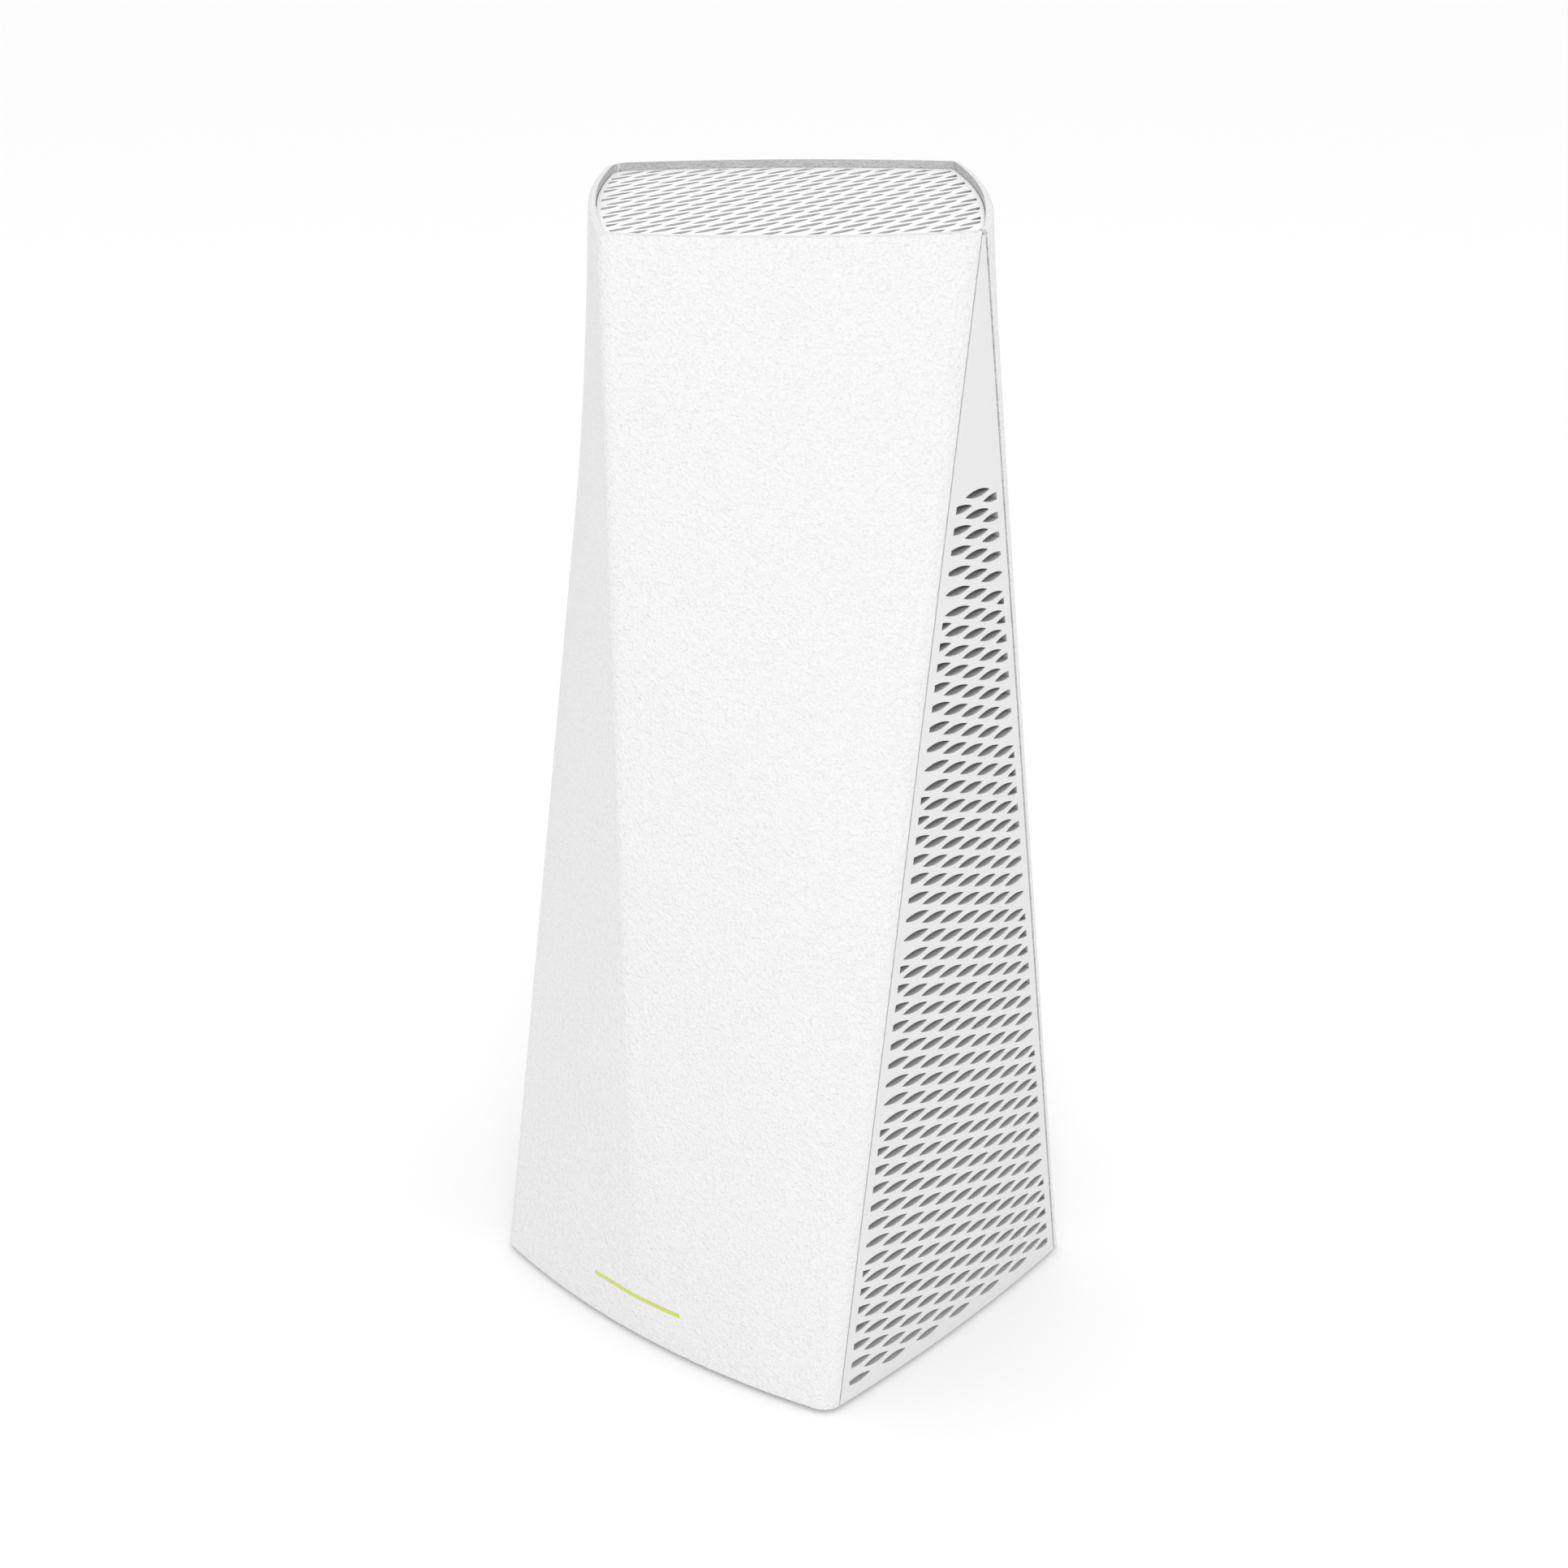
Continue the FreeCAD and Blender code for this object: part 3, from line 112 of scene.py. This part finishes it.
def bump(nodes, height, distance, strength, normal=None):
    """Normal of a Bump node; distance is in metres."""
    node = nodes.add("ShaderNodeBump", Height=height, Distance=distance, Strength=strength)
    if normal is not None:
        nodes.join(normal, node.inputs["Normal"])
    return node.outputs["Normal"]


def principled(nodes, **inputs):
    """Principled shader joined to the output."""
    shader = nodes.add("ShaderNodeBsdfPrincipled", **inputs)
    nodes.tree.links.new(shader.outputs["BSDF"], nodes.output.inputs["Surface"])
    return shader


def soft_edges(nodes, radius):
    """Normal rounded over sharp edges."""
    node = nodes.add("ShaderNodeBevel", {"samples": BEVEL_SAMPLES}, Radius=radius)
    return node.outputs["Normal"]


def mixed(nodes, factor, low, high):
    """Colour mixed from low to high by a factor."""
    node = nodes.add("ShaderNodeMix", {"data_type": "RGBA"}, Factor=factor)
    for value, socket in ((low, node.inputs[6]), (high, node.inputs[7])):
        nodes.join((*value, 1.0) if isinstance(value, tuple) else value, socket)
    return node.outputs[2]


def inward(nodes):
    """1 where a surface faces the tower's axis, 0 elsewhere."""
    flat = nodes.add("ShaderNodeVectorMath", {"operation": "MULTIPLY"})
    nodes.join(object_coordinates(nodes), flat.inputs[0])
    nodes.join((1.0, 1.0, 0.0), flat.inputs[1])
    outward = nodes.add("ShaderNodeVectorMath", {"operation": "NORMALIZE"})
    nodes.join(flat.outputs["Vector"], outward.inputs[0])
    facing = nodes.add("ShaderNodeVectorMath", {"operation": "DOT_PRODUCT"})
    nodes.join(outward.outputs["Vector"], facing.inputs[0])
    nodes.join(nodes.add("ShaderNodeNewGeometry").outputs["True Normal"], facing.inputs[1])
    return nodes.math("LESS_THAN", facing.outputs["Value"], FACING_IN)


def above(nodes, level):
    """1 above a height, 0 below it."""
    split = nodes.add("ShaderNodeSeparateXYZ", Vector=object_coordinates(nodes))
    return nodes.math("GREATER_THAN", split.outputs["Z"], level)


def crevice(nodes, distance):
    """0 deep in a gap or hole, 1 in the open."""
    settings = {"samples": SHADE_SAMPLES, "only_local": True}
    node = nodes.add("ShaderNodeAmbientOcclusion", settings, Distance=distance)
    return node.outputs["AO"]


# ---------------------------------------------------------------- materials
def moulded(name, colour, grain_scale, grain_depth, roughness, edge=0.15 * MM, mottle=0.02,
            inner_shade=None, rim_shade=None, gap_reach=None, gap_shade=0.1, gap_open=0.85):
    """Moulded plastic: pebbled grain, faint mottling, slightly worn edges and optional painted
    shade.

    The inner colour is painted shade on the hidden faces towards the tower's axis, and the rim
    colour painted shade on those above the top grille; gap_reach is how far the painted shade in
    a gap or hole reaches, gap_shade the share of the colour left in it, and gap_open how open a
    spot must be to stay unshaded.
    """
    nodes = Nodes(name)
    place = object_coordinates(nodes)
    pebbles = nodes.add("ShaderNodeTexVoronoi", {"feature": "SMOOTH_F1"}, Vector=place,
                        Scale=grain_scale, Smoothness=0.6).outputs["Distance"]
    ripple = noise(nodes, place, grain_scale * 0.45, 3.0, 0.6)
    height = nodes.math("ADD", nodes.math("MULTIPLY", pebbles, 0.6), ripple)
    cloud = noise(nodes, place, CLOUD_SCALE, 2.0)
    low = tuple(c * (1 - mottle) for c in colour)
    high = tuple(min(c * (1 + mottle), 1.0) for c in colour)
    tint = nodes.ramp(cloud, ((0.3, low), (0.7, high)))
    # painted shade: faces turned towards the axis get a dark colour, and the rim walls above the
    # top grille a lighter one
    if inner_shade:
        painted_inner_shade = mixed(nodes, above(nodes, GRILLE_TOP), inner_shade, rim_shade or inner_shade)
        tint = mixed(nodes, inward(nodes), tint, painted_inner_shade)
    # painted shade: colour darkened deep in seams, holes and slots by ambient occlusion
    if gap_reach:
        shade = nodes.ramp(crevice(nodes, gap_reach), ((CLOSED, 0.0), (gap_open, 1.0)))
        tint = mixed(nodes, shade, tuple(c * gap_shade for c in colour), tint)
    gloss = nodes.add("ShaderNodeMapRange", Value=cloud).outputs["Result"]
    gloss.node.inputs["To Min"].default_value = roughness - GLOSS_SPREAD
    gloss.node.inputs["To Max"].default_value = roughness + GLOSS_SPREAD
    normal = bump(nodes, height, grain_depth, 1.0, soft_edges(nodes, edge))
    principled(nodes, Base_Color=tint, Roughness=gloss, Normal=normal)
    return nodes.material


def metal(name, colour, roughness, streak_axis="X"):
    """Metal with fine drawn streaks."""
    nodes = Nodes(name)
    stretch = {"X": (40, 2500, 2500), "Z": (2500, 2500, 40)}[streak_axis]
    mapping = nodes.add("ShaderNodeMapping", Vector=object_coordinates(nodes), Scale=stretch)
    streaks = noise(nodes, mapping.outputs["Vector"], 1.0, 3.0, 0.6)
    low = tuple(c * 0.9 for c in colour)
    tint = nodes.ramp(streaks, ((0.35, low), (0.65, colour)))
    normal = bump(nodes, streaks, 0.006 * MM, 1.0, soft_edges(nodes, 0.1 * MM))
    principled(nodes, Base_Color=tint, Metallic=1.0, Roughness=roughness, Normal=normal)
    return nodes.material


def circuit(name, mask, copper):
    """Circuit board: solder mask over faint tracks."""
    nodes = Nodes(name)
    place = object_coordinates(nodes)
    cells = nodes.add("ShaderNodeTexBrick", Vector=place, Scale=260.0, Mortar_Size=0.03,
                      Color1=(1, 1, 1, 1), Color2=(0.85, 0.85, 0.85, 1), Mortar=(0, 0, 0, 1))
    spots = nodes.add("ShaderNodeTexVoronoi", Vector=place, Scale=420.0).outputs["Distance"]
    pads = nodes.math("LESS_THAN", spots, 0.16)
    tracks = nodes.add("ShaderNodeMix", {"data_type": "RGBA"}, Factor=cells.outputs["Fac"])
    tracks.inputs[6].default_value = (*mask, 1.0)
    tracks.inputs[7].default_value = (*(min(c * 1.6, 1.0) for c in mask), 1.0)
    top = nodes.add("ShaderNodeMix", {"data_type": "RGBA"}, Factor=pads)
    nodes.join(tracks.outputs[2], top.inputs[6])
    top.inputs[7].default_value = (*copper, 1.0)
    normal = bump(nodes, cells.outputs["Fac"], 0.02 * MM, 1.0)
    principled(nodes, Base_Color=top.outputs[2], Roughness=0.35, Normal=normal)
    return nodes.material


def lit_bar(name, colour, strength):
    """Translucent light guide that glows, with faint streaks."""
    nodes = Nodes(name)
    place = object_coordinates(nodes)
    streaks = noise(nodes, place, 400.0, 2.0)
    tint = nodes.ramp(streaks, ((0.3, tuple(c * 0.92 for c in colour)), (0.7, colour)))
    normal = soft_edges(nodes, 0.1 * MM)
    principled(nodes, Base_Color=tint, Roughness=0.35, Normal=normal,
               Emission_Color=tint, Emission_Strength=strength)
    return nodes.material


GRILLE_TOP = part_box("top_grille")[1][2] - 1.0 * MM
WHITE = (0.76, 0.76, 0.76)
PANEL_WHITE = (0.69, 0.69, 0.69)
TRIM_WHITE = (0.86, 0.86, 0.86)
# painted shade: dark colours for faces turned inward and for the rim walls above the top grille
INNER_SHADE = (0.15, 0.15, 0.15)
RIM_SHADE = (0.5, 0.5, 0.5)
# shells, side grilles and top grille also take painted shade in their seams, holes and slots
shell_white = moulded("shell_white", WHITE, 1900.0, 0.40 * MM, 0.5, edge=0.25 * MM, mottle=0.006,
                      inner_shade=INNER_SHADE, rim_shade=RIM_SHADE, gap_reach=1.0 * MM, gap_shade=0.06)
grille_white = moulded("grille_white", PANEL_WHITE, 2400.0, 0.006 * MM, 0.5,
                       edge=0.12 * MM, mottle=0.006, inner_shade=INNER_SHADE, rim_shade=RIM_SHADE,
                       gap_reach=3.0 * MM, gap_shade=0.2, gap_open=0.55)
trim_white = moulded("trim_white", TRIM_WHITE, 2400.0, 0.005 * MM, 0.45, edge=0.12 * MM,
                     mottle=0.006, gap_reach=2.2 * MM, gap_shade=0.08)
base_grey = moulded("base_grey", (0.42, 0.42, 0.43), 1500.0, 0.03 * MM, 0.5)
frame_dark = moulded("frame_dark", (0.055, 0.055, 0.058), 1500.0, 0.02 * MM, 0.55)
rubber = moulded("rubber", (0.06, 0.06, 0.062), 900.0, 0.04 * MM, 0.75, edge=0.4 * MM)
black = moulded("black_moulding", (0.02, 0.02, 0.021), 1600.0, 0.02 * MM, 0.38)
chip = moulded("chip_package", (0.025, 0.025, 0.028), 2600.0, 0.012 * MM, 0.55)
gap_pad = moulded("gap_pad", (0.24, 0.29, 0.36), 1100.0, 0.05 * MM, 0.8)
lead = moulded("lead_sheath", (0.03, 0.03, 0.03), 1300.0, 0.02 * MM, 0.45)
paper = moulded("label_paper", (0.76, 0.76, 0.75), 3000.0, 0.006 * MM, 0.55)
button_white = moulded("button_white", (0.8, 0.8, 0.8), 2600.0, 0.006 * MM, 0.32, edge=0.3 * MM)
led_package = moulded("led_package", (0.85, 0.8, 0.5), 2600.0, 0.005 * MM, 0.3)
aluminium = metal("sink_aluminium", (0.72, 0.73, 0.74), 0.38, "Z")
steel = metal("plated_steel", (0.66, 0.66, 0.67), 0.33)
gold = metal("gold_plate", (0.85, 0.62, 0.26), 0.25)
green_board = circuit("green_board", (0.012, 0.10, 0.035), (0.75, 0.6, 0.3))
dark_board = circuit("dark_board", (0.015, 0.02, 0.016), (0.72, 0.42, 0.22))
status_light = lit_bar("status_light", (0.47, 0.54, 0.05), 0.25)

FINISHES = {
    "front_shell": shell_white, "rear_shell": shell_white,
    "side_grille_right": grille_white, "side_grille_left": grille_white,
    "top_grille": trim_white, "light_bar": status_light,
    "base_plate": base_grey, "port_panel": base_grey, "rubber_feet": rubber,
    "base_screws": steel, "board_screws": steel, "rating_label": paper,
    "core_frame": frame_dark,
    "main_board": green_board, "radio_board": green_board, "io_board": green_board,
    "led_board": green_board, "led_chips": led_package,
    "board_link": black, "lan_jack_a": black, "lan_jack_b": black, "dc_jack": black,
    "lan_transformers": black, "capacitor": black, "sync_switch": black, "reset_switch": black,
    "sync_plunger": black, "reset_plunger": black,
    "processor_chip": chip, "memory_chips": chip, "radio_chips": chip,
    "heatsink": aluminium, "thermal_pad": gap_pad,
    "shield_lower": steel, "shield_upper": steel, "shield_radio": steel, "dc_pin": steel,
    "lan_contacts": gold, "antenna_plugs": gold, "antenna_leads": lead,
    "sync_button": button_white, "reset_button": button_white,
}
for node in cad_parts:
    finish = FINISHES.get(node, dark_board)
    obj = bpy.data.objects[node]
    for slot in obj.material_slots:
        slot.material = finish


# ---------------------------------------------------------------- floor
def floor_plane(half):
    """Square floor just under the feet."""
    mesh = bpy.data.meshes.new("studio_floor")
    corners = [(-half, -half, 0), (half, -half, 0), (half, half, 0), (-half, half, 0)]
    mesh.from_pydata(corners, [], [(0, 1, 2, 3)])
    obj = bpy.data.objects.new("studio_floor", mesh)
    bpy.context.scene.collection.objects.link(obj)
    nodes = Nodes("floor_white")
    principled(nodes, Base_Color=(0.92, 0.92, 0.92, 1.0), Roughness=0.9)
    mesh.materials.append(nodes.material)
    obj.location.z = CAD_BOX[0][2] - 0.1 * MM


FLOOR_HALF = 6.0
floor_plane(FLOOR_HALF)


# ---------------------------------------------------------------- light
def area_light(name, place, target, size, watts):
    """Square soft box aimed at a point."""
    data = bpy.data.lights.new(name, "AREA")
    data.size = size
    data.energy = watts
    obj = bpy.data.objects.new(name, data)
    obj.location = place
    obj.rotation_euler = (Vector(target) - Vector(place)).to_track_quat("-Z", "Y").to_euler()
    bpy.context.scene.collection.objects.link(obj)


MIDDLE = (0.0, 0.0, 0.12)
KEY_PLACE = (1.02, -1.15, 1.0)
KEY_SIZE = 0.75
KEY_WATTS = 7.6
SKY_LOW = 0.87
SKY_HIGH = 0.27
area_light("key_front", KEY_PLACE, MIDDLE, KEY_SIZE, KEY_WATTS)
world = bpy.data.worlds.new("studio")
world.use_nodes = True
sky = world.node_tree
place = sky.nodes.new("ShaderNodeTexCoord").outputs["Generated"]
split = sky.nodes.new("ShaderNodeSeparateXYZ")
sky.links.new(place, split.inputs[0])
rise = sky.nodes.new("ShaderNodeMapRange")
rise.inputs["To Min"].default_value = SKY_LOW
rise.inputs["To Max"].default_value = SKY_LOW + SKY_HIGH
sky.links.new(split.outputs["Z"], rise.inputs["Value"])
sky.links.new(rise.outputs["Result"], sky.nodes["Background"].inputs["Strength"])
sky.nodes["Background"].inputs["Color"].default_value = (1.0, 1.0, 1.0, 1.0)
bpy.context.scene.world = world
bpy.context.scene.view_settings.view_transform = "Standard"


# ---------------------------------------------------------------- camera
AZIMUTH = 0.735
ELEVATION = 0.376
ROLL = -0.006
PLACE = (0.33907, -0.39998, 0.3491)
FOCAL = 3256.0
IMAGE = 1932.0
SENSOR = 36.0
OFFSET = (-93.9, -131.6)
look = Vector((-math.sin(AZIMUTH) * math.cos(ELEVATION),
               math.cos(AZIMUTH) * math.cos(ELEVATION), -math.sin(ELEVATION)))
side = Vector((math.cos(AZIMUTH), math.sin(AZIMUTH), 0.0))
overhead = side.cross(look)
across = side * math.cos(ROLL) + overhead * math.sin(ROLL)
upwards = overhead * math.cos(ROLL) - side * math.sin(ROLL)
turn = Matrix((across, upwards, -look)).transposed().to_4x4()
camera = bpy.data.objects.new("camera", bpy.data.cameras.new("camera"))
camera.matrix_world = Matrix.Translation(PLACE) @ turn
camera.data.sensor_width = SENSOR
camera.data.lens = FOCAL / IMAGE * SENSOR
camera.data.shift_x = -OFFSET[0] / IMAGE
camera.data.shift_y = OFFSET[1] / IMAGE
bpy.context.scene.collection.objects.link(camera)
bpy.context.scene.camera = camera
